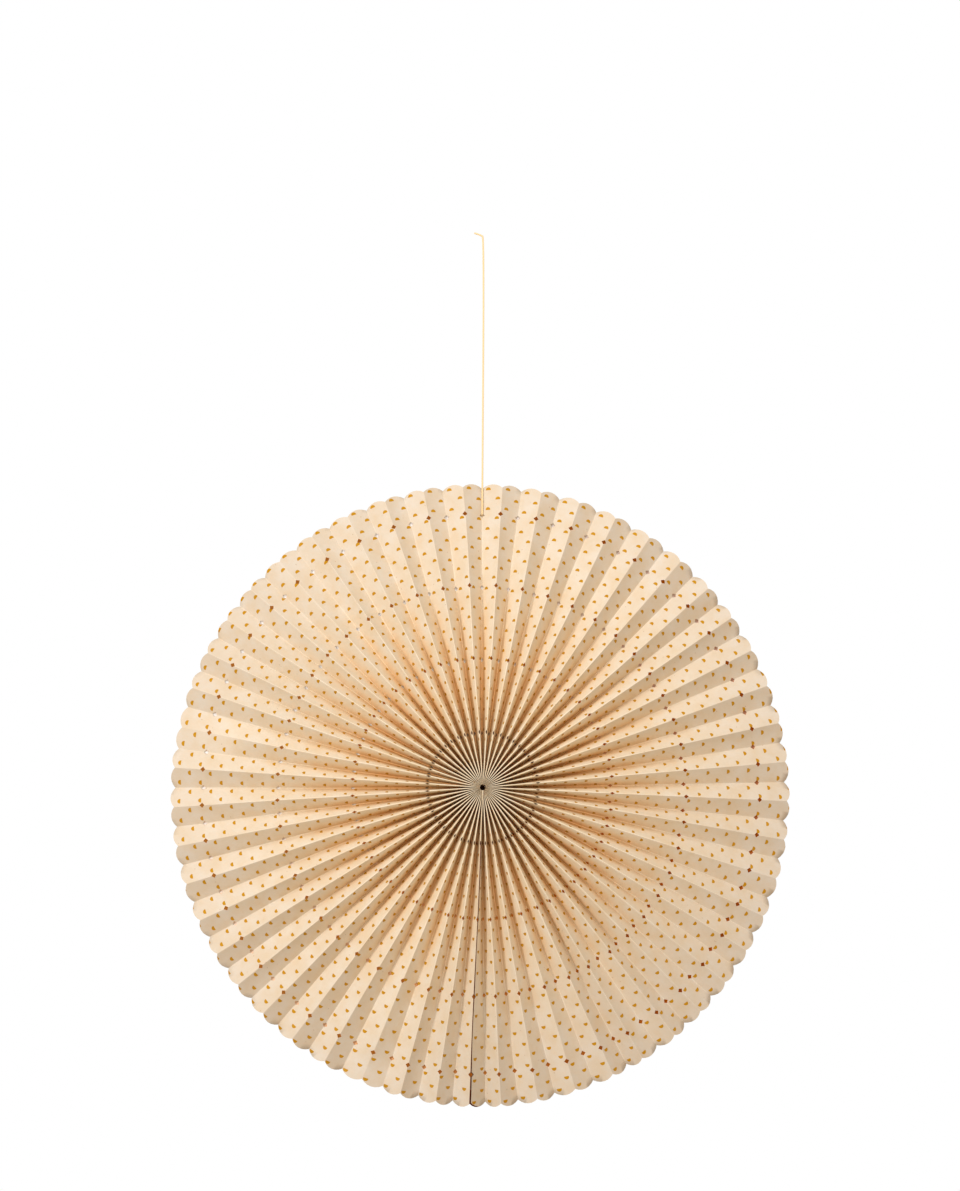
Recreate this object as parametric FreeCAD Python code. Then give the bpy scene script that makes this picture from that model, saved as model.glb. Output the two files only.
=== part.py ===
import FreeCAD
import Part
import math
import os

os.makedirs("parts", exist_ok=True)

# Paper fan rosette: one long strip of paper, folded to and fro and gathered into a disc.
# The origin is the hanging point at the top of the cord, +Z is up and the front faces -Y.

# Disc
rim_radius = 200.5
hub_hole_radius = 1.9
pleat_count = 50
rim_fold_depth = 8.2
paper_thickness = 0.12
fold_round = 0.06
flattest_fold = 1.5

# How the pleats spread: wider near the top than near the bottom, in degrees
spread_once = 0.40
spread_twice_cos = -0.03
spread_twice_sin = -0.06
# Pleats that were pressed wider (+) or tighter (-) than their neighbours, in degrees,
# counted clockwise from the top
odd_pleats = {6: -0.25, 7: -0.3, 11: 0.2, 14: 0.4, 19: -0.35, 20: -0.35, 22: 0.65,
              24: -0.75, 25: -0.75, 26: -0.4, 28: 1.3, 29: 0.25, 30: 0.4, 33: -0.3,
              39: 0.6, 40: -0.25, 41: -0.45, 42: -0.25, 43: -0.35, 44: 0.35, 46: 0.3}
# Front folds that lean off the middle of their pleat, in degrees
leaning_folds = {19: -0.3, 20: 0.4, 21: -0.2, 24: 0.3}
# The pleat whose front fold carries the seam
seam_pleat = 25
# The disc hangs turned a little about its hub, in degrees
hang_turn = -0.2

# Rounded outer end of each panel
scallop_height = 2.7
scallop_segments = 4

# Diamonds punched on every fold
ring_inset = 20.5
ring_spacing = 48.1
innermost_ring = 25.0
diamond_length = 3.15
diamond_width = 4.3

# Where the packed folds near the hub start to open
packed_radius = 12.0
packed_share = 0.45

# Ring of glue behind the hub
glue_outer_radius = 8.0
glue_height = 1.2
glue_slope_width = 1.6
glue_hole_clearance = 0.3
glue_seat_clearance = 0.01

# Hanging cord
cord_diameter = 1.3
cord_drop = 372.0
cord_wall_clearance = 0.2
cord_hole_rise = 0.3
cord_hole_depth = 0.9
cord_hole_run = 1.9
cord_bend_share = 0.45
knot_diameter = 4.2
knot_turns = 3
knot_turn_diameter = 1.25
knot_pitch = 1.15
knot_groove_depth = 0.4
knot_clearance = 0.25
knot_bore_clearance = 0.08
tail_points = ((-3.3, 0.0, 1.6), (-6.7, 0.0, 2.7))

# Sizes worked out from those above
mean_opening = 2.0 * math.pi / pleat_count
panel_width = math.hypot(rim_radius * mean_opening / 2.0, rim_fold_depth)
crease_end = rim_radius - scallop_height
notch_half = diamond_length / 2.0
notch_share = diamond_width / 2.0 / panel_width


def pleat_openings():
    """Opening of each pleat in radians: a slow wave round the disc plus the odd ones."""
    openings = []
    for number in range(pleat_count):
        around = mean_opening * (number + 0.5)
        extra = spread_once * math.cos(around)
        extra += spread_twice_cos * math.cos(2.0 * around)
        extra += spread_twice_sin * math.sin(2.0 * around)
        extra += odd_pleats.get(number, 0.0)
        openings.append(mean_opening + math.radians(extra))
    scale = 2.0 * math.pi / sum(openings)
    return [opening * scale for opening in openings]


def crease_angles():
    """Clockwise angle of every fold from the top; even ones are back folds, odd ones front."""
    angles = []
    angle = math.radians(hang_turn)
    for number, opening in enumerate(pleat_openings()):
        lean = math.radians(leaning_folds.get(number, 0.0))
        angles.append(angle)
        angles.append(angle + opening / 2.0 + lean)
        angle += opening
    return angles


crease_angle = crease_angles()
crease_count = len(crease_angle)


def half_opening(crease):
    """Mean angle from a fold to its two neighbours."""
    before = crease_angle[crease - 1]
    after = crease_angle[(crease + 1) % crease_count]
    return ((after - before) % (2.0 * math.pi)) / 2.0


def fold_depth(crease, radius):
    """Depth front to back, so that a panel keeps its width while its chord grows outwards."""
    chord = radius * half_opening(crease)
    spare = panel_width ** 2 - chord ** 2
    return math.sqrt(max(spare, flattest_fold ** 2))


# The cord hangs just in front of the top back fold, in the plane y = 0
valley_half_angle = math.atan2(crease_end * half_opening(0), fold_depth(0, crease_end))
cord_off_fold = cord_diameter / 2.0 / math.sin(valley_half_angle) + cord_wall_clearance
hub_y = cord_off_fold + paper_thickness / math.sin(valley_half_angle) - fold_depth(0, crease_end) / 2.0
hub_z = -cord_drop


def place(angle, radius, depth):
    """A point of the disc from its clockwise angle, radius and depth behind the mid plane."""
    return FreeCAD.Vector(radius * math.sin(angle), hub_y + depth, hub_z + radius * math.cos(angle))


def fold_reach(crease, radius):
    """How far the inner side of a fold lies from its outer side, front to back.

    It is the paper's thickness measured along the fold's axis. Near the hub the panels
    touch, so it stops at a share of the fold's depth."""
    depth = fold_depth(crease, radius)
    lean = math.sin(math.atan2(radius * half_opening(crease), depth))
    return min(paper_thickness / lean - fold_round, packed_share * depth)


def front_point(crease, radius):
    """Point of the front face on a fold."""
    depth = fold_depth(crease, radius) / 2.0
    if crease % 2:
        return place(crease_angle[crease], radius, -depth - fold_round)
    return place(crease_angle[crease], radius, depth - fold_reach(crease, radius))


def back_point(crease, radius):
    """Point of the back face on a fold."""
    depth = fold_depth(crease, radius) / 2.0
    if crease % 2:
        return place(crease_angle[crease], radius, -depth + fold_reach(crease, radius))
    return place(crease_angle[crease], radius, depth + fold_round)


def ring_radii():
    """Radii of the rings of diamonds, from the innermost out."""
    radii = []
    radius = rim_radius - ring_inset
    while radius >= innermost_ring:
        radii.insert(0, radius)
        radius -= ring_spacing
    return radii


def stations():
    """Radii at which the folds have a vertex, and the ring each pair of them encloses."""
    rings = ring_radii()
    radii = [hub_hole_radius, packed_radius]
    for ring in rings:
        radii.extend([ring - notch_half, ring + notch_half])
    radii.append(crease_end)
    return radii, rings


class Sheet:
    """Collects the facets of the folded strip, each turned so that it faces out."""

    def __init__(self):
        self.points = []
        self.index = {}
        self.facets = []

    def vertex(self, point):
        key = (round(point.x, 6), round(point.y, 6), round(point.z, 6))
        if key not in self.index:
            self.index[key] = len(self.points)
            self.points.append(point)
        return self.index[key]

    def face(self, polygon, flip=False):
        """A polygon as a fan of facets from its first corner."""
        corners = [self.vertex(point) for point in polygon]
        for second, third in zip(corners[1:], corners[2:]):
            facet = (corners[0], third, second) if flip else (corners[0], second, third)
            if len(set(facet)) == 3:
                self.facets.append(facet)

    def wall(self, front_line, back_line):
        """The cut edge of the paper, along a line that runs anticlockwise round the front face."""
        for step in range(len(front_line) - 1):
            front_start, front_end = front_line[step:step + 2]
            back_start, back_end = back_line[step:step + 2]
            self.face((front_end, front_start, back_start, back_end))

    def solid(self):
        shape = Part.Shape()
        shape.makeShapeFromMesh((self.points, self.facets), 0.0001)
        return Part.makeSolid(Part.Shell(shape.Faces))


def between(near, far, share):
    """Point at a share of the way across a panel."""
    return near + (far - near) * share


def panel_normal(crease, radius):
    """Unit normal of the panel before a fold, on the side that faces forwards."""
    here = place(crease_angle[crease], radius, (-1 if crease % 2 else 1) * fold_depth(crease, radius) / 2.0)
    last = crease - 1
    before = place(crease_angle[last], radius, (-1 if last % 2 else 1) * fold_depth(last, radius) / 2.0)
    across = here - before
    outwards = FreeCAD.Vector(math.sin(crease_angle[crease]), 0.0, math.cos(crease_angle[crease]))
    normal = across.cross(outwards)
    normal.normalize()
    return normal if normal.y < 0 else normal * -1.0


def seam_front(crease, radius):
    """Front face of the pasted panel, which stands one thickness proud of the seam fold."""
    return front_point(crease, radius) + panel_normal(crease, radius) * paper_thickness


def seam_back(crease, radius):
    """Back face of the pasted panel, one thickness behind the fold before the seam."""
    following = (crease + 1) % crease_count
    return back_point(crease, radius) - panel_normal(following, radius) * paper_thickness


def scallop_line(left, right):
    """The rounded end of a panel: an arc over the panel's width, from fold to fold."""
    half = panel_width / 2.0
    arc_radius = (half ** 2 + scallop_height ** 2) / (2.0 * scallop_height)
    sweep = math.asin(min(1.0, half / arc_radius))
    line = []
    for step in range(scallop_segments + 1):
        angle = sweep * (2.0 * step / scallop_segments - 1.0)
        share = 0.5 + arc_radius * math.sin(angle) / panel_width
        radius = rim_radius - arc_radius * (1.0 - math.cos(angle))
        line.append(between(left(radius), right(radius), share))
    return line


def notch_lines(line, other):
    """The cuts of the half diamonds in a panel's edge, each from the hub side outwards."""
    cuts = []
    for ring in ring_radii():
        tip = between(line(ring), other(ring), notch_share)
        cuts.append([line(ring - notch_half), tip, line(ring + notch_half)])
    return cuts


def add_face(sheet, left, right, flip):
    """One face of a panel between two folds, which are functions of the radius."""
    radii, rings = stations()
    for inner, outer in zip(radii, radii[1:]):
        ring = next((r for r in rings if inner < r < outer), None)
        if ring is None:
            sheet.face((left(inner), right(inner), right(outer), left(outer)), flip)
            continue
        left_tip = between(left(ring), right(ring), notch_share)
        right_tip = between(left(ring), right(ring), 1.0 - notch_share)
        sheet.face((left(inner), right(inner), right_tip, left_tip), flip)
        sheet.face((left_tip, right_tip, right(outer), left(outer)), flip)
    sheet.face(scallop_line(left, right), not flip)


def add_panel(sheet, front_left, front_right, back_left, back_right):
    """Both faces and all cut edges of a panel."""
    add_face(sheet, front_left, front_right, False)
    add_face(sheet, back_left, back_right, True)
    for front_cut, back_cut in zip(notch_lines(front_right, front_left), notch_lines(back_right, back_left)):
        sheet.wall(front_cut, back_cut)
    for front_cut, back_cut in zip(notch_lines(front_left, front_right), notch_lines(back_left, back_right)):
        sheet.wall(front_cut[::-1], back_cut[::-1])
    sheet.wall(scallop_line(front_left, front_right)[::-1], scallop_line(back_left, back_right)[::-1])
    hub = hub_hole_radius
    sheet.wall((front_left(hub), front_right(hub)), (back_left(hub), back_right(hub)))


def add_step(sheet, lower, upper, opposite):
    """The cut end of the strip where it lies pasted on the panel under it."""
    radii, rings = stations()
    for inner, outer in zip(radii, radii[1:]):
        if any(inner < ring < outer for ring in rings):
            continue
        sheet.face((lower(inner), lower(outer), upper(outer), upper(inner)))
        if inner == hub_hole_radius or any(abs(inner - ring) < diamond_length for ring in rings):
            sheet.face((lower(inner), upper(inner), opposite(inner)))
        if outer == crease_end or any(abs(outer - ring) < diamond_length for ring in rings):
            sheet.face((upper(outer), lower(outer), opposite(outer)))


def fold_line(point_on, crease):
    """A fold as a function of the radius alone."""
    return lambda radius: point_on(crease, radius)


def pleated_paper():
    """The strip, folded to and fro, with its last panel pasted under its first."""
    sheet = Sheet()
    seam = 2 * int(seam_pleat) + 1
    for crease in range(crease_count):
        following = (crease + 1) % crease_count
        pasted = following == seam
        front_left = fold_line(front_point, crease)
        front_right = fold_line(seam_front if pasted else front_point, following)
        back_left = fold_line(seam_back if pasted else back_point, crease)
        back_right = fold_line(back_point, following)
        add_panel(sheet, front_left, front_right, back_left, back_right)
    before = seam - 1
    add_step(sheet, fold_line(front_point, seam), fold_line(seam_front, seam), fold_line(back_point, seam))
    add_step(sheet, fold_line(back_point, before), fold_line(seam_back, before), fold_line(front_point, before))
    return sheet.solid()


def revolved(profile, height):
    """A solid turned round the Y axis from (radius, y) corners, then raised to its height."""
    corners = [FreeCAD.Vector(radius, y, 0.0) for radius, y in profile]
    face = Part.Face(Part.makePolygon(corners + corners[:1]))
    solid = face.revolve(FreeCAD.Vector(0, 0, 0), FreeCAD.Vector(0, 1, 0), 360.0)
    solid.translate(FreeCAD.Vector(0, 0, height))
    return solid


def hub_glue():
    """A flat bead of glue that holds the back folds together round the hub hole."""
    inner = hub_hole_radius + glue_hole_clearance
    seat = hub_y + panel_width / 2.0 + fold_round + glue_seat_clearance
    top = seat + glue_height
    profile = [
        (inner, seat),
        (inner + glue_slope_width, top),
        (glue_outer_radius - glue_slope_width, top),
        (glue_outer_radius, seat),
    ]
    return revolved(profile, hub_z)


def cord_route():
    """Points of the cord: through the knot and the top hole, up to the hanging point and its tail."""
    hole_radius = rim_radius - ring_inset
    hole_x = hole_radius * math.sin(crease_angle[0])
    hole_z = hub_z + hole_radius * math.cos(crease_angle[0]) + cord_hole_rise
    knot_back = knot_front_y() + knot_length()
    points = [
        FreeCAD.Vector(hole_x, knot_back, hole_z),
        FreeCAD.Vector(hole_x, cord_hole_depth, hole_z),
        FreeCAD.Vector(hole_x, 0.0, hole_z + cord_hole_run),
        FreeCAD.Vector(0.0, 0.0, 0.0),
    ]
    return points + [FreeCAD.Vector(*point) for point in tail_points]


def knot_front_y():
    """The knot draws up against the back fold, just behind the hole."""
    hole_radius = rim_radius - ring_inset
    return hub_y + fold_depth(0, hole_radius) / 2.0 + fold_round + knot_clearance


def knot_length():
    """Length of the knot's turns along the hole."""
    return knot_pitch * (knot_turns - 1) + knot_turn_diameter


def rounded_path(points):
    """Straight runs joined by tangent arcs; each arc is as large as its two runs allow."""
    edges = []
    radii = []
    start = points[0]
    for before, corner, after in zip(points, points[1:], points[2:]):
        run_in = corner - before
        run_out = after - corner
        half_turn = run_in.getAngle(run_out) / 2.0
        setback = cord_bend_share * min(run_in.Length, run_out.Length)
        radius = setback / math.tan(half_turn)
        radii.append(radius)
        run_in.normalize()
        run_out.normalize()
        arc_start = corner - run_in * setback
        arc_end = corner + run_out * setback
        to_middle = run_out - run_in
        to_middle.normalize()
        middle = corner + to_middle * (radius / math.cos(half_turn) - radius)
        edges.append(Part.LineSegment(start, arc_start).toShape())
        edges.append(Part.Arc(arc_start, middle, arc_end).toShape())
        start = arc_end
    edges.append(Part.LineSegment(start, points[-1]).toShape())
    return Part.Wire(edges), radii


def hanging_cord():
    """The cord as a plain round tube along its route."""
    points = cord_route()
    path, radii = rounded_path(points)
    print("cord radii", [round(radius, 2) for radius in radii])
    circle = Part.Circle(points[0], points[1] - points[0], cord_diameter / 2.0).toShape()
    tube = path.makePipeShell([Part.Wire([circle])], True, False)
    ideal = math.pi * (cord_diameter / 2.0) ** 2 * path.Length
    print("cord length", round(path.Length, 2), "volume ratio", round(tube.Volume / ideal, 5))
    return tube


def cord_knot():
    """Turns of the cord round itself, drawn up behind the paper as a stop."""
    hole = cord_route()[0]
    bore = cord_diameter / 2.0 + knot_bore_clearance
    outer = knot_diameter / 2.0
    groove = outer - knot_groove_depth
    front = knot_front_y()
    back = front + knot_length()
    profile = [(bore, front), (groove, front)]
    for number in range(knot_turns):
        centre = front + knot_turn_diameter / 2.0 + knot_pitch * number
        profile.append((outer, centre))
        if number < knot_turns - 1:
            profile.append((groove, centre + knot_pitch / 2.0))
    profile.extend([(groove, back), (bore, back)])
    knot = revolved(profile, hole.z)
    knot.translate(FreeCAD.Vector(hole.x, 0.0, 0.0))
    return knot


def main():
    pieces = {
        "pleated_paper": pleated_paper,
        "hub_glue": hub_glue,
        "hanging_cord": hanging_cord,
        "cord_knot": cord_knot,
    }
    for name, make in pieces.items():
        shape = make()
        print(name, "valid", shape.isValid(), "volume", round(shape.Volume, 2), "faces", len(shape.Faces))
        shape.exportStep("parts/" + name + ".step")


main()
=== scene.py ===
import math

import bpy
import numpy as np
from mathutils import Matrix, Vector


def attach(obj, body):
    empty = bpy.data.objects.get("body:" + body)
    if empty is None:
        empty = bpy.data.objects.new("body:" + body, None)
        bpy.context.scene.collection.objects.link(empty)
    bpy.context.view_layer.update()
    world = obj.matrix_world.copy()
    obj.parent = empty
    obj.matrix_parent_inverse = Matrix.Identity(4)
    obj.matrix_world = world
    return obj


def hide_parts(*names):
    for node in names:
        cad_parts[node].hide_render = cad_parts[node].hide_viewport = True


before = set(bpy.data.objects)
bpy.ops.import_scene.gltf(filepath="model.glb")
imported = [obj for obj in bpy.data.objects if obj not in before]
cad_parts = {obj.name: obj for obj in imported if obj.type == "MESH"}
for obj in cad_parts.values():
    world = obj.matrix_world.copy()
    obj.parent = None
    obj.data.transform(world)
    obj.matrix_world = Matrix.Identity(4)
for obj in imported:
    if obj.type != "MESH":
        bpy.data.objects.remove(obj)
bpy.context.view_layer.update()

MM = 0.001

# The photograph's frame in pixels, and the lens and place of its camera, measured from the hub
IMAGE_WIDTH = 960
SENSOR_WIDTH = 36.0
FOCAL_PIXELS = 1750.0
CAMERA_FROM_HUB = (-51.46 * MM, -1137.6 * MM, -38.79 * MM)
CAMERA_PITCH = math.radians(8.21)
CAMERA_YAW = math.radians(2.52)
CAMERA_ROLL = math.radians(0.2126)

# The folded strip, as in the part's source, in metres
RIM_RADIUS = 200.5 * MM
HUB_HOLE_RADIUS = 1.9 * MM
PLEATS = 50
RIM_FOLD_DEPTH = 8.2 * MM
PAPER_THICKNESS = 0.12 * MM
FLATTEST_FOLD = 1.5 * MM
SCALLOP_HEIGHT = 2.7 * MM
RINGS = np.array([35.7, 83.8, 131.9, 180.0]) * MM
DIAMOND_LENGTH = 3.15 * MM
DIAMOND_WIDTH = 4.3 * MM
SEAM_PANEL = 50
HANG_TURN = math.radians(-0.2)

# How much wider or narrower than the mean the pleats are, in degrees: slow waves once and twice
# round the disc, single odd pleats, and front folds that lean to one side of their pleat
SPREAD_ONCE, SPREAD_TWICE_COS, SPREAD_TWICE_SIN = 0.40, -0.03, -0.06
ODD_PLEATS = {6: -0.25, 7: -0.3, 11: 0.2, 14: 0.4, 19: -0.35, 20: -0.35, 22: 0.65,
              24: -0.75, 25: -0.75, 26: -0.4, 28: 1.3, 29: 0.25, 30: 0.4, 33: -0.3,
              39: 0.6, 40: -0.25, 41: -0.45, 42: -0.25, 43: -0.35, 44: 0.35, 46: 0.3}
LEANING_FOLDS = {19: -0.3, 20: 0.4, 21: -0.2, 24: 0.3}

CREASES = 2 * PLEATS
MEAN_OPENING = 2.0 * math.pi / PLEATS
PANEL_WIDTH = math.hypot(RIM_RADIUS * MEAN_OPENING / 2.0, RIM_FOLD_DEPTH)
CREASE_END = RIM_RADIUS - SCALLOP_HEIGHT
HUB_Z = -372.0 * MM
HUB_Y = -2.62 * MM

# Rows of the strip's grid beside those of the diamonds, and the columns across a panel, which
# lie closest by the folds
HUB_ROWS = np.array([HUB_HOLE_RADIUS / MM, 3, 4.5, 6.5, 9, 12, 16, 20, 25, 30]) * MM
OUTER_ROWS = np.array([43, 50, 57, 64, 71, 77, 91, 98, 105, 112, 119, 125.5, 139, 146, 153, 160,
                       167, 173, 185]) * MM
RIM_STEPS = (0.35, 0.7, 1.0)
COLUMNS = np.array([0.0, 0.0167, 0.0333, 0.15, 0.325, 0.5, 0.675, 0.85, 0.9667, 0.9833, 1.0])

# Bends of the sheet: the inner radius of a fold, how far folds wander sideways, the height of
# slow waves in the sheet, and the bow across a panel
FOLD_ARC = 0.3 * MM
FOLD_WANDER = 0.22 * MM
WAVE_HEIGHT = 0.035 * MM
WAVES = 7
BOW = 0.25 * MM

# Folds that were pressed flat towards the rim: fold, radius where it starts, radius where it
# is flattest, share of the depth that is left there
PRESSED_FOLDS = ((79, 154.0, 174.0, -0.1), (57, 172.0, 192.0, -0.05))

# The seam: how far its upper layer ends short of the fold, how that waves, what it is more by
# the rim and towards the hub, how much shorter its rim is, how far it stands off, and how far
# the layer under it dips behind the fold
SEAM_SHORT = 0.6 * MM
SEAM_WAVE = 0.2 * MM
SHORTER_BY_RIM = 0.6 * MM
SHORTER_BY_HUB = 1.6 * MM
SEAM_RIM_SHORT = 0.7 * MM
SEAM_STANDS_OFF = 0.25 * MM
SEAM_DIP = 1.1 * MM

# The printed half moons: three sheets were pasted end to end. Each sheet's first panel, its
# number of panels, the place of its first column across the panel, the radius of its rows
# there, and how far the columns and rows drift from one panel to the next, in mm
MOON_COLUMNS = PANEL_WIDTH / 2.0
MOON_ROWS = 13.31 * MM
SHEETS = ((84, 34, 5.65, 13.6, -0.062, -0.145), (18, 33, 4.75, 13.3, -0.043, 0.135),
          (51, 33, 5.5, 3.1, -0.052, 0.225))
MOON_WIDTH = 3.7 * MM
MOON_HEIGHT = 1.95 * MM
MOON_GOLD = ("D09E14", "B87E08")

# The paper's own colour at the rim, a paler tone towards the hub that is painted light, a painted
# shade down in the folds, the dark brown of a painted shadow along the seam, and the light that it
# lets through
PAPER_RIM, PAPER_HUB_PAINTED_LIGHT, PAPER_VALLEY_PAINTED_SHADE = "E0D8CB", "F9EED8", "FFE4B8"
SEAM_PAINTED_SHADOW = "6B3010"
PAPER_GLOW = "E39242"
PAPER_LETS_THROUGH = 0.10

# The cord, from behind its hole up to the bend and the tail, and the knot behind the hole
CORD_DIAMETER = 1.3 * MM
HOLE_X = RINGS[-1] * math.sin(HANG_TURN)
HOLE_Z = HUB_Z + RINGS[-1] * math.cos(HANG_TURN) + 0.3 * MM
KNOT_BACK_Y = 5.83 * MM
KNOT_FRONT_Y = 2.28 * MM
KNOT_WIRE = 1.25 * MM
KNOT_REACH = 1.475 * MM
KNOT_TURNS = 3.0
CORD_ROUTE = np.array([
    (HOLE_X, KNOT_BACK_Y, HOLE_Z),
    (HOLE_X, 0.9 * MM, HOLE_Z),
    (HOLE_X, 0.0, HOLE_Z + 1.9 * MM),
    (0.0, 0.0, 0.0),
    (-2.2 * MM, 0.0, 1.15 * MM),
    (-4.5 * MM, 0.0, 2.1 * MM),
    (-6.7 * MM, 0.0, 2.7 * MM),
])

# The wall behind the disc: its colour in the light, its painted shade behind the hub and behind
# the pleats at the left and the right, its distance behind the hub and behind the back folds,
# how that varies round the disc, and its rings
WALL_LIT, WALL_SHADE_BEHIND_HUB = "F4F4F6", "2A1608"
SHADE_BEHIND_LEFT_PLEATS, SHADE_BEHIND_RIGHT_PLEATS = "FFB65C", "CC7020"
WALL_Y = 6.4 * MM
WALL_GAP, WALL_GAP_VARIES = 1.25 * MM, 0.65 * MM
WALL_RINGS = np.array([3, 9, 14, 25, 40, 60, 84, 108, 132, 150, 165, 180, 184]) * MM

# The floor, and the even light from all round
FLOOR_HALF, FLOOR_Z = 4.0, -1.5
ROOM_LIGHT, ROOM_STRENGTH = "FFEBD3", 0.61

rng = np.random.default_rng(7)


def linear(hex_colour):
    """An sRGB hex colour as linear red, green, blue and alpha."""
    channels = [int(hex_colour[i:i + 2], 16) / 255.0 for i in (0, 2, 4)]
    light = [c / 12.92 if c <= 0.04045 else ((c + 0.055) / 1.055) ** 2.4 for c in channels]
    return (*light, 1.0)


def material(name):
    """A new material and its empty node tree."""
    made = bpy.data.materials.new(name)
    made.use_nodes = True
    made.node_tree.nodes.clear()
    return made, made.node_tree


def add(tree, kind, inputs=None, **settings):
    """Adds a node with its settings. Inputs maps a socket's name or number to a value, to the
    socket that feeds it, or to a node whose first output in use feeds it."""
    made = tree.nodes.new(kind)
    for name, value in settings.items():
        setattr(made, name, value)
    for name, value in (inputs or {}).items():
        if isinstance(value, bpy.types.Node):
            value = next(output for output in value.outputs if output.enabled)
        if isinstance(value, bpy.types.NodeSocket):
            tree.links.new(value, made.inputs[name])
        else:
            made.inputs[name].default_value = value
    return made


def mix(tree, share, first, second, **settings):
    """Mixes two colours by a share. A colour is a hex code, or what feeds it."""
    first, second = [linear(end) if isinstance(end, str) else end for end in (first, second)]
    inputs = {0: share, 6: first, 7: second}
    return add(tree, "ShaderNodeMix", inputs, data_type="RGBA", **settings)


def ramp(tree, value, start, end, low=0.0, high=1.0, **settings):
    """Maps a value from the range start to end onto the range low to high, and no further."""
    inputs = {"Value": value, "From Min": start, "From Max": end, "To Min": low, "To Max": high}
    return add(tree, "ShaderNodeMapRange", inputs, **settings)


def reckon(tree, operation, *values, **settings):
    """A sum on one to three values."""
    return add(tree, "ShaderNodeMath", dict(enumerate(values)), operation=operation, **settings)


def mesh_object(name, points, faces, smooth_angle=80.0):
    """A closed mesh from arrays of points and of faces, smooth but for its sharp edges."""
    mesh = bpy.data.meshes.new(name)
    mesh.from_pydata(points, [], faces)
    mesh.shade_smooth()
    mesh.set_sharp_from_angle(angle=math.radians(smooth_angle))
    made = bpy.data.objects.new(name, mesh)
    bpy.context.scene.collection.objects.link(made)
    return made


def smooth_step(value):
    """Zero below 0, one above 1, and a smooth rise between."""
    value = np.clip(value, 0.0, 1.0)
    return value * value * (3.0 - 2.0 * value)


def rise(value, start, end):
    """Zero at the start and before it, one at the end and beyond, and a smooth rise between."""
    return smooth_step((value - start) / (end - start))


def crease_angles():
    """Clockwise angles of the folds: each pleat takes the mean opening plus a slow wave round
    the disc plus its own share, scaled to a full turn; a front fold lies in its pleat's middle."""
    around = MEAN_OPENING * (np.arange(PLEATS) + 0.5)
    extra = SPREAD_ONCE * np.cos(around) + SPREAD_TWICE_COS * np.cos(2 * around)
    extra += SPREAD_TWICE_SIN * np.sin(2 * around)
    extra += np.array([ODD_PLEATS.get(pleat, 0.0) for pleat in range(PLEATS)])
    opening = MEAN_OPENING + np.radians(extra)
    opening *= 2.0 * math.pi / opening.sum()
    back = HANG_TURN + np.concatenate([[0.0], np.cumsum(opening)[:-1]])
    lean = np.radians([LEANING_FOLDS.get(pleat, 0.0) for pleat in range(PLEATS)])
    return np.stack([back, back + opening / 2.0 + lean], 1).ravel()


ANGLES = crease_angles()
HALF_OPENINGS = ((np.roll(ANGLES, -1) - np.roll(ANGLES, 1)) % (2.0 * math.pi)) / 2.0
WANDER = rng.normal(0.0, 1.0, (3, CREASES))


def crease_points(crease, radius):
    """Mid-plane points of folds: x and z from the clockwise angle and the radius, y half the
    fold's depth before or behind the hub's plane. The depth is what is left of the panel's width
    when its chord is taken out, less where a fold was pressed flat. Folds wander sideways a
    little between the hub and the rim."""
    crease = crease % CREASES
    chord = radius * HALF_OPENINGS[crease]
    depth = np.sqrt(np.maximum(PANEL_WIDTH ** 2 - chord ** 2, FLATTEST_FOLD ** 2))
    for fold, start, end, left in PRESSED_FOLDS:
        pressed = rise(radius / MM, start, end) * (crease == fold)
        depth = depth * (1.0 - pressed * (1.0 - left))
    side = np.where(crease % 2 == 1, -0.5, 0.5)
    wave = np.sin(radius / (26.0 * MM) + 3.0 * WANDER[1][crease])
    drift = FOLD_WANDER * WANDER[0][crease] * wave * rise(radius, 14.0 * MM, 44.0 * MM)
    drift = drift * rise(radius, CREASE_END, CREASE_END - 30.0 * MM)
    angle = ANGLES[crease] + drift / radius
    x, z = radius * np.sin(angle), HUB_Z + radius * np.cos(angle)
    return np.stack([x, HUB_Y + side * depth, z], -1)


def strip_grid():
    """Rows from the hub out and columns across every panel: the radius and the share of the
    panel's width at each. Beside a ring of diamonds the columns draw in from the folds, and
    the last rows bend to the scallop's arc."""
    cut = DIAMOND_LENGTH / 2.0
    ring_rows = [[ring - cut, ring, ring + cut] for ring in RINGS]
    rows = np.sort(np.concatenate([HUB_ROWS, *ring_rows, OUTER_ROWS]))
    arc = ((PANEL_WIDTH / 2.0) ** 2 + SCALLOP_HEIGHT ** 2) / (2.0 * SCALLOP_HEIGHT)
    edge = RIM_RADIUS - arc + np.sqrt(arc ** 2 - ((COLUMNS - 0.5) * PANEL_WIDTH) ** 2)
    radius = np.repeat(rows[:, None], len(COLUMNS), 1)
    outer = [rows[-1] + (edge - rows[-1]) * step for step in RIM_STEPS]
    radius = np.concatenate([radius, np.stack(outer)])
    share = np.repeat(COLUMNS[None, :], len(radius), 0)
    is_cut = np.zeros(len(radius), bool)
    is_cut[:len(rows)] = np.isclose(rows[:, None], RINGS[None, :], atol=1e-7).any(1)
    draw = DIAMOND_WIDTH / 2.0 / PANEL_WIDTH * is_cut
    share = draw[:, None] + (1.0 - 2.0 * draw[:, None]) * share
    return radius, share, is_cut


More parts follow.
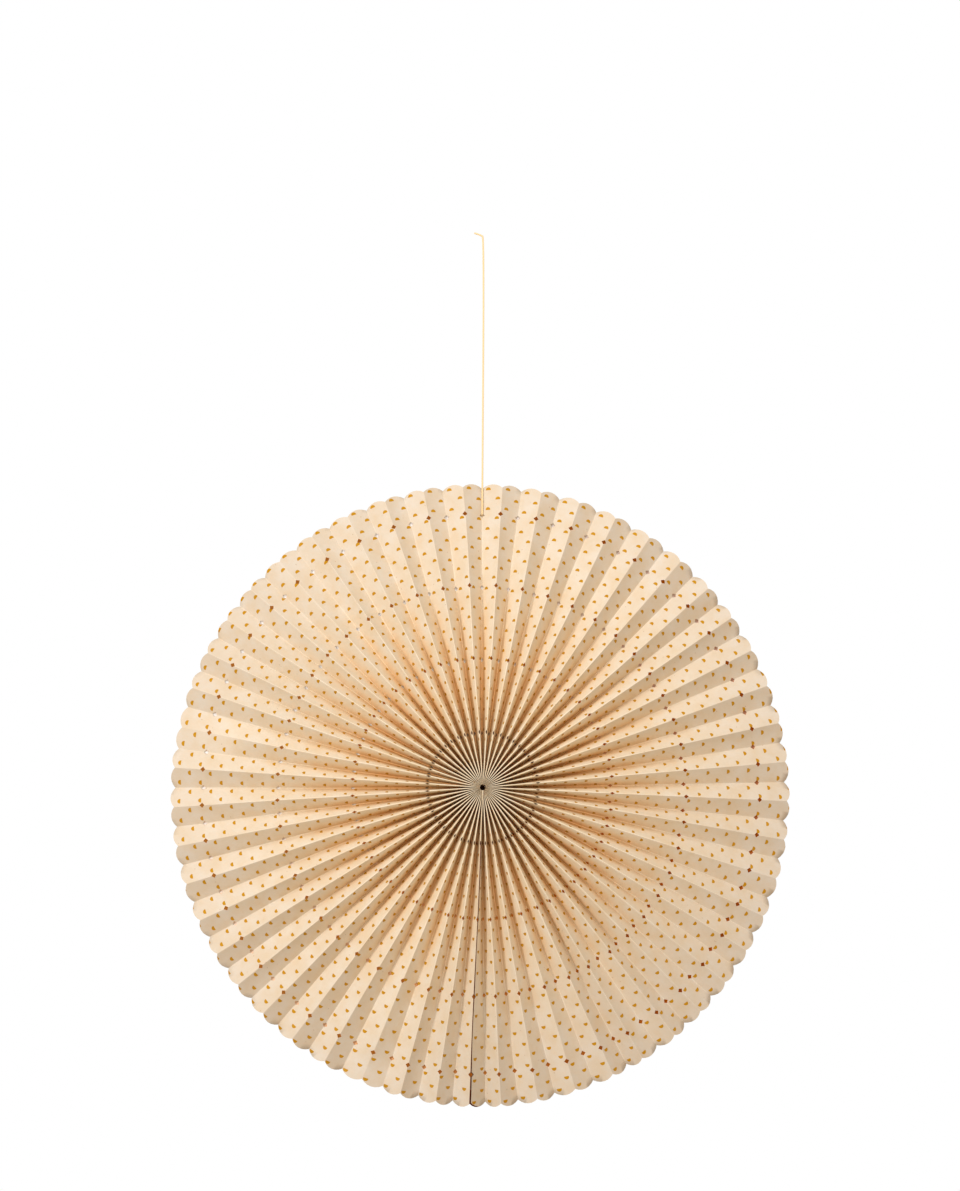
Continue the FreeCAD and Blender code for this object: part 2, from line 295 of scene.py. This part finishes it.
def draw_back(radius, share, upper):
    """Draws the seam's upper layer back: its edge ends short of the front fold by a slow wave,
    by more at the rim and towards the hub, and its rim ends short of the lower layer's."""
    short = SEAM_SHORT + SEAM_WAVE * np.sin(radius / (9.0 * MM))
    short = short + SHORTER_BY_RIM * rise(radius, 155.0 * MM, 200.0 * MM)
    short = short + SHORTER_BY_HUB * rise(radius, 70.0 * MM, 40.0 * MM)
    short = short * rise(radius, 9.0 * MM, 15.0 * MM)
    share = share * (1.0 - upper * short / PANEL_WIDTH)
    by_rim = rise(radius, 188.0 * MM, 196.0 * MM) * rise(share, 0.0, 0.6)
    return radius - upper * by_rim * SEAM_RIM_SHORT, share


def round_folds(points, left, right, share):
    """Bends the sheet round its folds in place: from the fold it runs sideways and turns along
    an arc until it has its panel's slope. What it strays by fades out across the panel."""
    sideways = (right - left) * np.array([1.0, 0.0, 1.0])
    chord = np.linalg.norm(sideways, axis=-1)
    sideways /= chord[..., None]
    lean = np.minimum(chord / PANEL_WIDTH, 0.99)
    slope = np.sqrt(1.0 - lean ** 2)
    bend = np.minimum(FOLD_ARC, 0.42 * chord)
    inwards = np.sign(right[..., 1] - left[..., 1])
    for distance, sign in ((share * PANEL_WIDTH, 1.0), ((1.0 - share) * PANEL_WIDTH, -1.0)):
        turned = np.minimum(distance / bend, np.arccos(lean))
        straight = distance - turned * bend
        effect = sign * (1.0 - distance / PANEL_WIDTH)
        off_side = bend * np.sin(turned) + (straight - distance) * lean
        off_depth = bend * (1.0 - np.cos(turned)) + (straight - distance) * slope
        points += (effect * off_side)[..., None] * sideways
        points[..., 1] += effect * off_depth * inwards


def loosen_seam(points, radius, share, upper, under):
    """Moves the seam's layers apart in place: the upper one stands off a little, the under one
    dips behind its edge, and by the hub that edge lies over sideways as a lip."""
    points[..., 1] -= upper * share ** 4 * SEAM_STANDS_OFF
    dip = rise(share, 1.0, 0.965) * rise(share, 0.1, 0.7) * rise(radius, 12.0 * MM, 32.0 * MM)
    points[..., 1] += under * dip * SEAM_DIP
    lip = upper * rise(share, 0.95, 0.98) * rise(radius, 10.5 * MM, 7.0 * MM)
    points[..., 1] -= lip * ((1.0 - share) * PANEL_WIDTH + 0.35 * MM)
    points[..., 0] += lip * (0.8 * rise(share, 0.965, 1.0) - 0.45) * MM


def paper_surface():
    """Mid-surface of all panels, one grid each, the last one the layer under the seam's panel.
    A point is on the straight line from fold to fold, bent round the folds, with a little bow
    across the panel and slow waves of a few hundredths of a millimetre."""
    radius, share, is_cut = strip_grid()
    panel = np.append(np.arange(CREASES), SEAM_PANEL)[:, None, None]
    layer = np.arange(len(panel))[:, None, None]
    upper, under = layer == SEAM_PANEL, layer == CREASES
    radius = np.repeat(radius[None], len(panel), 0)
    share = np.repeat(share[None], len(panel), 0)
    radius, share = draw_back(radius, share, upper)
    each = np.broadcast_to(panel, radius.shape)
    left = crease_points(each, radius)
    right = crease_points(each + 1, radius)
    points = left + (right - left) * share[..., None]
    round_folds(points, left, right, share)

    flat_x = (panel + share) * PANEL_WIDTH
    waves = np.zeros_like(radius)
    for _ in range(WAVES):
        turn, phase = rng.uniform(0.0, 2.0 * math.pi, 2)
        length = rng.uniform(18.0, 60.0) * MM
        run = flat_x * math.cos(turn) + radius * math.sin(turn)
        waves += np.sin(run * 2.0 * math.pi / length + phase)
    bow = BOW * rng.normal(0.0, 1.0, len(panel))[:, None, None]
    arch = 4.0 * share * (1.0 - share) * rise(radius, 20.0 * MM, 100.0 * MM)
    points[..., 1] += (waves * WAVE_HEIGHT + bow) * arch
    loosen_seam(points, radius, share, upper, under)
    return points, radius, share, panel, is_cut


def print_place(panel, share, radius):
    """Where each point lies on its printed sheet: columns across in column widths, rows along
    in row lengths, from the sheet's own first moon."""
    number = panel % CREASES
    across = np.zeros_like(radius)
    along = np.zeros_like(radius)
    for first, count, column, row, column_drift, row_drift in SHEETS:
        place = (number - first) % CREASES
        inside = place < count
        place = place + share
        x = place * PANEL_WIDTH - (column + column_drift * place) * MM
        v = radius - (row + row_drift * place) * MM
        across = np.where(inside, x / MOON_COLUMNS, across)
        along = np.where(inside, v / MOON_ROWS, along)
    return across, along


def folded_paper():
    """The strip as one closed sheet: the mid surface moved forwards and back by half the paper's
    thickness, more where the panels are steep, with faces joined along the folds, and walls
    along every cut edge. Attributes say which faces are the front and which carry the painted
    shadow line along the seam."""
    points, radius, share, panel, is_cut = paper_surface()
    panels, rows, columns = radius.shape
    total = radius.size
    index = np.arange(total).reshape(radius.shape)
    join = index.copy()
    whole = ~is_cut
    following = (np.arange(panels) + 1) % CREASES
    following[CREASES] = (SEAM_PANEL + 1) % CREASES
    join[:, whole, -1] = index[following][:, whole, 0]
    join[SEAM_PANEL] = index[SEAM_PANEL]
    chord = radius * HALF_OPENINGS[panel % CREASES]
    lean = chord / PANEL_WIDTH
    most = 0.07 * MM + 0.25 * MM * rise(radius, 10.0 * MM, 40.0 * MM)
    reach = np.minimum(PAPER_THICKNESS / 2.0 / lean, most)
    front = points.copy()
    front[..., 1] -= reach
    back = points.copy()
    back[..., 1] += reach
    corners = [index[:, :-1, :-1], index[:, :-1, 1:], index[:, 1:, 1:], index[:, 1:, :-1]]
    corners = np.stack(corners, -1).reshape(-1, 4)
    joined = join.ravel()[corners]
    start = joined.ravel()
    end = np.roll(joined, -1, 1).ravel()
    loose_start = corners.ravel()
    loose_end = np.roll(corners, -1, 1).ravel()
    edge = ~np.isin(end * total + start, start * total + end)
    walls = np.stack([end[edge], start[edge], start[edge] + total, end[edge] + total], -1)
    wall_uv = np.stack([loose_end[edge], loose_start[edge], loose_start[edge], loose_end[edge]], -1)
    # the back's faces start at the same corner, so that both sides split along one diagonal
    backwards = [0, 3, 2, 1]
    faces = np.concatenate([joined, joined[:, backwards] + total, walls])
    uv_of = np.concatenate([corners, corners[:, backwards], wall_uv])
    is_front = np.concatenate([np.ones(len(joined)), np.zeros(len(joined) + len(walls))])
    # painted shadow of the gap between the seam's layers: dark brown on the under layer by the
    # fold and by the rim, on the next panel's first column, and on the upper layer's free edge
    seam_shadow_faces = np.zeros((panels, rows - 1, columns - 1))
    seam_shadow_faces[CREASES, :, -2:] = 1.0
    seam_shadow_faces[CREASES, -2:, 5:] = 1.0
    seam_shadow_faces[SEAM_PANEL + 1, :, 0] = 1.0
    seam_shadow_faces *= radius[:, :-1, :-1] > 30.0 * MM
    free = index[SEAM_PANEL][:, -1]
    seam_shadow_edges = np.isin(start[edge], free) & np.isin(end[edge], free)
    seam_shadow_faces = np.concatenate([seam_shadow_faces.ravel(), np.zeros(len(joined)), seam_shadow_edges])
    used, renumbered = np.unique(faces, return_inverse=True)
    coordinates = np.concatenate([front.reshape(-1, 3), back.reshape(-1, 3)])[used]
    made = mesh_object("folded_paper", coordinates, renumbered.reshape(faces.shape))
    across, along = print_place(panel, share, radius)
    sheet_x = ((panel + share) * PANEL_WIDTH + 0 * radius).ravel()
    maps = (("print", across.ravel(), along.ravel()), ("sheet", sheet_x, radius.ravel()))
    for name, u, v in maps:
        layer = made.data.uv_layers.new(name=name)
        values = np.stack([u[uv_of.ravel()], v[uv_of.ravel()]], -1)
        layer.uv.foreach_set("vector", values.astype(np.float32).ravel())
    side = made.data.attributes.new("front_side", "FLOAT", "FACE")
    side.data.foreach_set("value", is_front.astype(np.float32))
    painted_seam_shadow = made.data.attributes.new("seam_shadow_paint", "FLOAT", "FACE")
    painted_seam_shadow.data.foreach_set("value", seam_shadow_faces.astype(np.float32))
    return made


def half_moons(tree, front):
    """The share of gold print: half discs in a half-drop repeat, where every other column
    stands half a row lower, on the front only."""
    printed = add(tree, "ShaderNodeUVMap", uv_map="print").outputs[0]
    column, row = add(tree, "ShaderNodeSeparateXYZ", {"Vector": printed}).outputs[:2]
    number = reckon(tree, "ROUND", column)
    off_column = reckon(tree, "SUBTRACT", column, number)
    odd = reckon(tree, "PINGPONG", number, 1.0)
    dropped = reckon(tree, "MULTIPLY_ADD", odd, 0.5, row)
    off_row = reckon(tree, "WRAP", dropped, 0.5, -0.5)
    across = reckon(tree, "MULTIPLY", off_column, 2.0 * MOON_COLUMNS / MOON_WIDTH)
    above = reckon(tree, "MULTIPLY_ADD", off_row, MOON_ROWS / MOON_HEIGHT, 0.45)
    dome_height = reckon(tree, "MULTIPLY_ADD", above, 1.25, -0.25)
    dome_place = add(tree, "ShaderNodeCombineXYZ", {0: across, 1: dome_height})
    reach = add(tree, "ShaderNodeVectorMath", {0: dome_place}, operation="LENGTH").outputs["Value"]
    dome = ramp(tree, reach, 1.03, 0.96)
    base_line = ramp(tree, above, -0.02, 0.03)
    half_disc = reckon(tree, "MULTIPLY", dome, base_line)
    return reckon(tree, "MULTIPLY", half_disc, front)


def paper_material():
    """Uncoated craft paper with flecks and fibres, screen printed with gold half moons on the
    front. Gives a dull warm cream with fine grey and brown specks, a little light through it,
    painted light that makes it paler towards the hub, a painted yellow-brown shade down in the
    folds, and a painted dark brown shadow line along the seam."""
    made, tree = material("uncoated_craft_paper_gold_printed")
    sheet = add(tree, "ShaderNodeUVMap", uv_map="sheet").outputs[0]
    along, radius = add(tree, "ShaderNodeSeparateXYZ", {"Vector": sheet}).outputs[:2]
    front = add(tree, "ShaderNodeAttribute", attribute_name="front_side").outputs["Fac"]
    moon = half_moons(tree, front)

    # cloudy cream, painted paler towards the hub as painted light, with fibres along the strip and
    # sparse flecks
    cloud = add(tree, "ShaderNodeTexNoise",
                {"Vector": sheet, "Scale": 70.0, "Detail": 4.0, "Roughness": 0.6})
    stretch = add(tree, "ShaderNodeMapping", {"Vector": sheet, "Scale": (1400.0, 420.0, 1.0)})
    fibre = add(tree, "ShaderNodeTexNoise", {"Vector": stretch, "Scale": 1.0, "Detail": 3.0})
    speck = add(tree, "ShaderNodeTexVoronoi", {"Vector": sheet, "Scale": 260.0})
    pick = add(tree, "ShaderNodeSeparateColor", {"Color": speck.outputs["Color"]}).outputs
    inside = ramp(tree, speck.outputs["Distance"], 0.13, 0.05)
    chosen = ramp(tree, pick[0], 0.80, 0.86, high=0.55)
    fleck = reckon(tree, "MULTIPLY", inside, chosen)
    # painted light: the cream grows paler from the rim towards the hub, standing in for light on
    # the crests there
    tone = mix(tree, ramp(tree, radius, 0.195, 0.055), PAPER_RIM, PAPER_HUB_PAINTED_LIGHT)
    tone = mix(tree, ramp(tree, cloud, 0.35, 0.68), tone, "FBF3E6", blend_type="MULTIPLY")
    tone = mix(tree, ramp(tree, fibre, 0.5, 0.8, high=0.3), tone, "DCC6A2")
    tone = mix(tree, fleck, tone, mix(tree, pick[1], "9A8468", "B58A52"))

    # painted shade: the valleys are tinted a darker yellow-brown than the crests, most of all
    # towards the hub, where the folds are deepest
    panels_across = reckon(tree, "DIVIDE", along, PANEL_WIDTH)
    off_valley = reckon(tree, "PINGPONG", panels_across, 1.0)
    valley = ramp(tree, off_valley, 0.75, 0.05, interpolation_type="SMOOTHSTEP")
    inner = ramp(tree, radius, 0.15, 0.05, interpolation_type="SMOOTHSTEP")
    fold_shade_mask = reckon(tree, "MULTIPLY", valley, inner)
    tone = mix(tree, fold_shade_mask, tone, PAPER_VALLEY_PAINTED_SHADE, blend_type="MULTIPLY")
    # painted shadow: a dark brown line where the seam's layers part
    painted_seam_shadow = add(tree, "ShaderNodeAttribute", attribute_name="seam_shadow_paint").outputs["Fac"]
    tone = mix(tree, painted_seam_shadow, tone, SEAM_PAINTED_SHADOW)

    colour = mix(tree, moon, tone, mix(tree, fibre, *MOON_GOLD))
    rough = ramp(tree, moon, 0.0, 1.0, 0.85, 0.55)
    grain = add(tree, "ShaderNodeBump", {"Height": fibre, "Strength": 0.12, "Distance": 0.0002})
    surface = add(tree, "ShaderNodeBsdfPrincipled",
                  {"Base Color": colour, "Roughness": rough, "Normal": grain, "IOR": 1.45,
                   "Specular IOR Level": 0.25})
    through = add(tree, "ShaderNodeBsdfTranslucent", {"Color": linear(PAPER_GLOW)})
    mixed = add(tree, "ShaderNodeMixShader", {0: PAPER_LETS_THROUGH, 1: surface, 2: through})
    add(tree, "ShaderNodeOutputMaterial", {"Surface": mixed})
    return made


def spline_points(points):
    """The points of a smooth open curve through a route, as the curve's own mesh gives them."""
    curve = bpy.data.curves.new("route", "CURVE")
    curve.dimensions = "3D"
    curve.resolution_u = 64
    spline = curve.splines.new("NURBS")
    spline.points.add(len(points) - 1)
    spline.points.foreach_set("co", np.c_[points, np.ones(len(points))].ravel())
    spline.order_u = 3
    spline.use_endpoint_u = True
    holder = bpy.data.objects.new("route", curve)
    bpy.context.scene.collection.objects.link(holder)
    bpy.context.view_layer.update()
    shaped = holder.evaluated_get(bpy.context.evaluated_depsgraph_get())
    mesh = bpy.data.meshes.new_from_object(shaped)
    found = np.zeros(len(mesh.vertices) * 3)
    mesh.vertices.foreach_get("co", found)
    bpy.data.objects.remove(holder)
    return found.reshape(-1, 3)


def evenly(points, step):
    """The same line with points an even distance apart."""
    run = np.r_[0.0, np.cumsum(np.linalg.norm(np.diff(points, axis=0), axis=1))]
    at = np.linspace(0.0, run[-1], max(3, int(round(run[-1] / step)) + 1))
    return np.stack([np.interp(at, run, points[:, axis]) for axis in range(3)], 1), at


def frames_along(line, guess):
    """Two unit vectors square to the line at each point, the first as near as it can be to a
    given direction."""
    tangent = np.gradient(line, axis=0)
    tangent /= np.linalg.norm(tangent, axis=1)[:, None]
    side = guess - tangent * (tangent @ guess)[:, None]
    side /= np.linalg.norm(side, axis=1)[:, None]
    return side, np.cross(tangent, side)


def tube(line, radius, sides, start, guess):
    """A closed round tube along a line: circles joined by quads, with a fan at each end."""
    side, up = frames_along(line, guess)
    turn = np.arange(sides) * 2.0 * math.pi / sides
    ring = side[:, None] * np.cos(turn)[None, :, None] + up[:, None] * np.sin(turn)[None, :, None]
    radius = np.broadcast_to(radius, len(line))
    points = (line[:, None] + ring * radius[:, None, None]).reshape(-1, 3)
    index = np.arange(len(line) * sides).reshape(len(line), sides) + start
    onward = np.roll(index, -1, 1)
    quads = np.stack([index[:-1], onward[:-1], onward[1:], index[1:]], -1).reshape(-1, 4).tolist()
    caps = [index[0][::-1].tolist(), index[-1].tolist()]
    return points, quads + caps


def twisted_cord(name, line, diameter, guess, strands=3, pitch=3.1 * MM, step=0.26 * MM, sides=8):
    """Strands wound round a line: each is a tube whose centre circles the line once a pitch,
    and whose ends are rounded off."""
    line, at = evenly(line, step)
    side, up = frames_along(line, guess)
    strand = diameter / 2.0 / (1.0 + 1.0 / math.sin(math.pi / strands)) * 1.06
    orbit = diameter / 2.0 - strand
    points, faces = [], []
    count = 0
    ends = np.minimum(at, at[-1] - at)
    from_end = np.clip(ends / (0.8 * strand), 0.0, 1.0)
    rounding = np.sqrt(np.clip(1.0 - (1.0 - from_end) ** 2, 0.08, 1.0))
    for number in range(strands):
        turn = 2.0 * math.pi * (at / pitch + number / strands)
        centre = line + (side * np.cos(turn)[:, None] + up * np.sin(turn)[:, None]) * orbit
        made, quads = tube(centre, strand * rounding, sides, count, guess)
        points.append(made)
        faces += quads
        count += len(made)
    return mesh_object(name, np.concatenate(points).tolist(), faces, 60.0)


def cord_material():
    """Twisted rayon cord in pale gold. Gives a soft sheen with fine slanting threads."""
    made, tree = material("twisted_rayon_gold_cord")
    place = add(tree, "ShaderNodeTexCoord").outputs["Object"]
    stretch = add(tree, "ShaderNodeMapping", {"Vector": place, "Scale": (9000.0, 9000.0, 2200.0)})
    thread = add(tree, "ShaderNodeTexNoise", {"Vector": stretch, "Scale": 1.0, "Detail": 2.0})
    colour = mix(tree, ramp(tree, thread, 0.35, 0.7), "EBC88A", "F8E6C0")
    bump = add(tree, "ShaderNodeBump", {"Height": thread, "Strength": 0.3, "Distance": 0.0001})
    surface = add(tree, "ShaderNodeBsdfPrincipled",
                  {"Base Color": colour, "Normal": bump, "Roughness": 0.45, "Sheen Weight": 0.3})
    add(tree, "ShaderNodeOutputMaterial", {"Surface": surface})
    return made


def glue_material():
    """Set hot-melt glue. Gives a cloudy pale amber with a soft shine."""
    made, tree = material("set_hot_melt_glue")
    place = add(tree, "ShaderNodeTexCoord").outputs["Object"]
    cloud = add(tree, "ShaderNodeTexNoise", {"Vector": place, "Scale": 420.0, "Detail": 3.0})
    colour = mix(tree, ramp(tree, cloud, 0.35, 0.7), "E4D5AE", "D6C294")
    bump = add(tree, "ShaderNodeBump", {"Height": cloud, "Strength": 0.35, "Distance": 0.0006})
    surface = add(tree, "ShaderNodeBsdfPrincipled",
                  {"Base Color": colour, "Normal": bump, "Roughness": 0.38})
    add(tree, "ShaderNodeOutputMaterial", {"Surface": surface})
    return made


def glue_bead():
    """A lumpy ring of glue: a flat foot and a dome between two circles, whose height and outer
    edge vary slowly round the ring."""
    inner, outer = 2.25 * MM, 7.9 * MM
    seat = HUB_Y + PANEL_WIDTH / 2.0 + 0.075 * MM
    turns, steps = 96, 14
    around = np.arange(turns) * 2.0 * math.pi / turns
    lump = 0.06 * np.sin(3 * around + 1.0) + 0.05 * np.sin(7 * around)
    lump += 0.04 * np.sin(11 * around + 2.0)
    share = np.linspace(0.0, 1.0, steps)
    edge = outer * (0.96 + 0.25 * lump)
    reach = inner + (edge[:, None] - inner) * share[None, :]
    height = 1.12 * MM * (0.9 + lump[:, None]) * (4.0 * share * (1.0 - share))[None, :] ** 0.6
    x, z = reach * np.sin(around)[:, None], HUB_Z + reach * np.cos(around)[:, None]
    top = np.stack([x, seat + height, z], -1)
    foot = np.stack([x, seat + 0.0 * height, z], -1)[:, 1:-1][:, ::-1]
    loop = np.concatenate([top, foot], 1)
    index = np.arange(loop.shape[0] * loop.shape[1]).reshape(loop.shape[:2])
    a, b = index, np.roll(index, -1, 1)
    c, d = np.roll(b, -1, 0), np.roll(index, -1, 0)
    quads = np.stack([a, b, c, d], -1).reshape(-1, 4)
    return mesh_object("glue_bead", loop.reshape(-1, 3), quads, 60.0)


def knot_coil():
    """The knot's line: an even coil about the cord's hole, from behind the paper backwards."""
    turn = np.linspace(0.0, KNOT_TURNS * 2.0 * math.pi, 160)
    y = KNOT_FRONT_Y + KNOT_WIRE / 2.0 + (KNOT_BACK_Y - KNOT_FRONT_Y - KNOT_WIRE) * turn / turn[-1]
    return np.stack([HOLE_X + KNOT_REACH * np.cos(turn), y, HOLE_Z + KNOT_REACH * np.sin(turn)], 1)


def floor_material():
    """Matt pale floor paint. Gives a nearly white floor, which the camera sees a little
    brighter than its light alone makes it."""
    made, tree = material("matt_pale_floor_paint")
    seen = add(tree, "ShaderNodeLightPath").outputs["Is Camera Ray"]
    surface = add(tree, "ShaderNodeBsdfPrincipled",
                  {"Base Color": linear("F7F7F7"), "Roughness": 1.0, "Specular IOR Level": 0.0,
                   "Emission Color": linear("8A94A2"), "Emission Strength": seen})
    add(tree, "ShaderNodeOutputMaterial", {"Surface": surface})
    return made


def wall_material():
    """Matt white wall right behind the disc, with its shade painted on: white where light falls
    on it past the back folds, a painted brown shade behind the pleats, where only light that
    went through the paper would reach it, lighter at the left and darker at the right, and a
    painted dark shade behind the hub. Only the camera sees it, from the front, so the disc's
    back stays lit."""
    made, tree = material("wall_painted_shade")
    place = add(tree, "ShaderNodeTexCoord").outputs["Object"]
    from_hub = add(tree, "ShaderNodeVectorMath", {0: place, 1: (0.0, WALL_Y, HUB_Z)},
                   operation="DISTANCE").outputs["Value"]
    sideways = add(tree, "ShaderNodeSeparateXYZ", {"Vector": place}).outputs["X"]
    # painted shade behind the pleats: a light brown at the left, where the light comes from, and a
    # darker brown at the right
    painted_pleat_shade = mix(tree, ramp(tree, sideways, -0.15, 0.12), SHADE_BEHIND_LEFT_PLEATS, SHADE_BEHIND_RIGHT_PLEATS)
    pleat_shade_share = add(tree, "ShaderNodeAttribute", attribute_name="pleat_shade_share").outputs["Fac"]
    colour = mix(tree, ramp(tree, pleat_shade_share, 0.1, 0.4), WALL_LIT, painted_pleat_shade)
    # painted dark shade behind the hub
    colour = mix(tree, ramp(tree, from_hub, 0.030, 0.060), WALL_SHADE_BEHIND_HUB, colour)
    surface = add(tree, "ShaderNodeBsdfPrincipled",
                  {"Base Color": colour, "Roughness": 1.0, "Specular IOR Level": 0.0})
    behind = add(tree, "ShaderNodeNewGeometry").outputs["Backfacing"]
    seen = add(tree, "ShaderNodeLightPath").outputs["Is Camera Ray"]
    solid = reckon(tree, "SUBTRACT", seen, behind, use_clamp=True)
    clear = add(tree, "ShaderNodeBsdfTransparent")
    mixed = add(tree, "ShaderNodeMixShader", {0: solid, 1: clear, 2: surface})
    add(tree, "ShaderNodeOutputMaterial", {"Surface": mixed})
    return made


def wall_disc():
    """The patch of wall right behind the disc, which shows through its holes. It follows the
    back folds at the narrow gap seen there, wider at the right. The attribute that carries
    the share of painted shade is one halfway between back folds, and low at them, lowest at
    the upper left, where most light gets past the folds."""
    back_folds = np.arange(0, CREASES, 2)[None, :]
    radius = WALL_RINGS[:, None]
    points = crease_points(back_folds, radius + 0.0 * back_folds)
    gap = WALL_GAP + WALL_GAP_VARIES * np.cos(ANGLES[back_folds] - math.radians(100.0))
    points[..., 1] += PAPER_THICKNESS + gap
    points[:2, :, 1] = WALL_Y
    halfway = (points + np.roll(points, -1, 1)) / 2.0
    points = np.stack([points, halfway], 2).reshape(radius.size, CREASES, 3)
    index = np.arange(radius.size * CREASES).reshape(radius.size, CREASES)
    onward = np.roll(index, -1, 1)
    quads = np.stack([index[:-1], onward[:-1], onward[1:], index[1:]], -1).reshape(-1, 4)
    faces = quads.tolist() + [index[0][::-1].tolist()]
    made = mesh_object("wall_patch", points.reshape(-1, 3), faces)
    # the painted shade behind the back folds is strongest at the lower right, away from the light
    by_fold = 0.22 + 0.2 * np.cos(ANGLES[back_folds[0]] - math.radians(140.0))
    share = np.tile(np.stack([by_fold, np.ones(PLEATS)], 1).ravel(), radius.size)
    pleat_shade_share = made.data.attributes.new("pleat_shade_share", "FLOAT", "POINT")
    pleat_shade_share.data.foreach_set("value", share.astype(np.float32))
    return made


def floor_plane():
    """A wide flat floor far below the disc."""
    corners = [(-FLOOR_HALF, -FLOOR_HALF, FLOOR_Z), (FLOOR_HALF, -FLOOR_HALF, FLOOR_Z),
               (FLOOR_HALF, FLOOR_HALF, FLOOR_Z), (-FLOOR_HALF, FLOOR_HALF, FLOOR_Z)]
    mesh = bpy.data.meshes.new("pale_floor")
    mesh.from_pydata(corners, [], [(0, 1, 2, 3)])
    made = bpy.data.objects.new("pale_floor", mesh)
    bpy.context.scene.collection.objects.link(made)
    return made


def studio_world():
    """Soft even light from all round; the camera and mirrors see plain white."""
    world = bpy.data.worlds.new("studio")
    bpy.context.scene.world = world
    world.use_nodes = True
    tree = world.node_tree
    tree.nodes.clear()
    path = add(tree, "ShaderNodeLightPath").outputs
    mirrored = reckon(tree, "MAXIMUM", path["Is Camera Ray"], path["Is Glossy Ray"])
    seen = reckon(tree, "MAXIMUM", mirrored, path["Is Transmission Ray"])
    white = add(tree, "ShaderNodeBackground", {"Color": (1.0, 1.0, 1.0, 1.0), "Strength": 1.0})
    soft = add(tree, "ShaderNodeBackground",
               {"Color": linear(ROOM_LIGHT), "Strength": ROOM_STRENGTH})
    mixed = add(tree, "ShaderNodeMixShader", {0: seen, 1: soft, 2: white})
    add(tree, "ShaderNodeOutputWorld", {"Surface": mixed})


def soft_lamp(name, clock_angle, forwards, distance, size, power, hex_colour):
    """A round area lamp that faces the hub, from a clockwise angle round the disc and a share
    of forwardness."""
    lamp = bpy.data.lights.new(name, "AREA")
    lamp.shape = "DISK"
    lamp.size = size
    lamp.energy = power
    lamp.color = linear(hex_colour)[:3]
    holder = bpy.data.objects.new(name, lamp)
    bpy.context.scene.collection.objects.link(holder)
    around = math.radians(clock_angle)
    flat = math.sqrt(1.0 - forwards ** 2)
    towards = Vector((flat * math.sin(around), -forwards, flat * math.cos(around)))
    holder.location = Vector((0.0, HUB_Y, HUB_Z)) + towards * distance
    holder.rotation_euler = towards.to_track_quat("Z", "Y").to_euler()


def photo_camera():
    """The fitted camera: yawed to the right, pitched up, and rolled about the view's axis with
    the disc's own frame."""
    data = bpy.data.cameras.new("photo_camera")
    data.sensor_fit = "HORIZONTAL"
    data.sensor_width = SENSOR_WIDTH
    data.lens = FOCAL_PIXELS / IMAGE_WIDTH * SENSOR_WIDTH
    cy, sy = math.cos(CAMERA_YAW), math.sin(CAMERA_YAW)
    cp, sp = math.cos(CAMERA_PITCH), math.sin(CAMERA_PITCH)
    right = Vector((cy, -sy, 0.0))
    up = Vector((-sy * sp, -cy * sp, cp))
    ahead = Vector((sy * cp, cy * cp, sp))
    turned = Matrix.Rotation(-CAMERA_ROLL, 3, "Y")
    axes = [turned @ axis for axis in (right, up, -ahead)]
    holder = bpy.data.objects.new("photo_camera", data)
    matrix = Matrix(axes).transposed().to_4x4()
    matrix.translation = Vector((0.0, HUB_Y, HUB_Z)) + Vector(CAMERA_FROM_HUB)
    holder.matrix_world = matrix
    bpy.context.scene.collection.objects.link(holder)
    bpy.context.scene.camera = holder


paper = folded_paper()
paper.data.materials.append(paper_material())
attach(paper, "root")
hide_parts("pleated_paper")

gold = cord_material()
cord_path = spline_points(CORD_ROUTE)
cord = twisted_cord("gold_cord", cord_path, CORD_DIAMETER, np.array([0.8, 0.6, 0.0]))
cord.data.materials.append(gold)
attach(cord, "root")
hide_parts("hanging_cord")

knot = twisted_cord("coiled_knot", knot_coil(), KNOT_WIRE, np.array([0.0, 1.0, 0.0]))
knot.data.materials.append(gold)
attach(knot, "root")
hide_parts("cord_knot")

bead = glue_bead()
bead.data.materials.append(glue_material())
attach(bead, "root")
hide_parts("hub_glue")

wall = wall_disc()
wall.data.materials.append(wall_material())

floor = floor_plane()
floor.data.materials.append(floor_material())

studio_world()
soft_lamp("key", clock_angle=282.0, forwards=0.79, distance=1.05, size=0.145, power=4.7,
          hex_colour="FFFDFB")
soft_lamp("top", clock_angle=0.0, forwards=0.8, distance=0.9, size=0.5, power=3.35,
          hex_colour="FFFFFF")
photo_camera()
bpy.context.scene.view_settings.view_transform = "Standard"
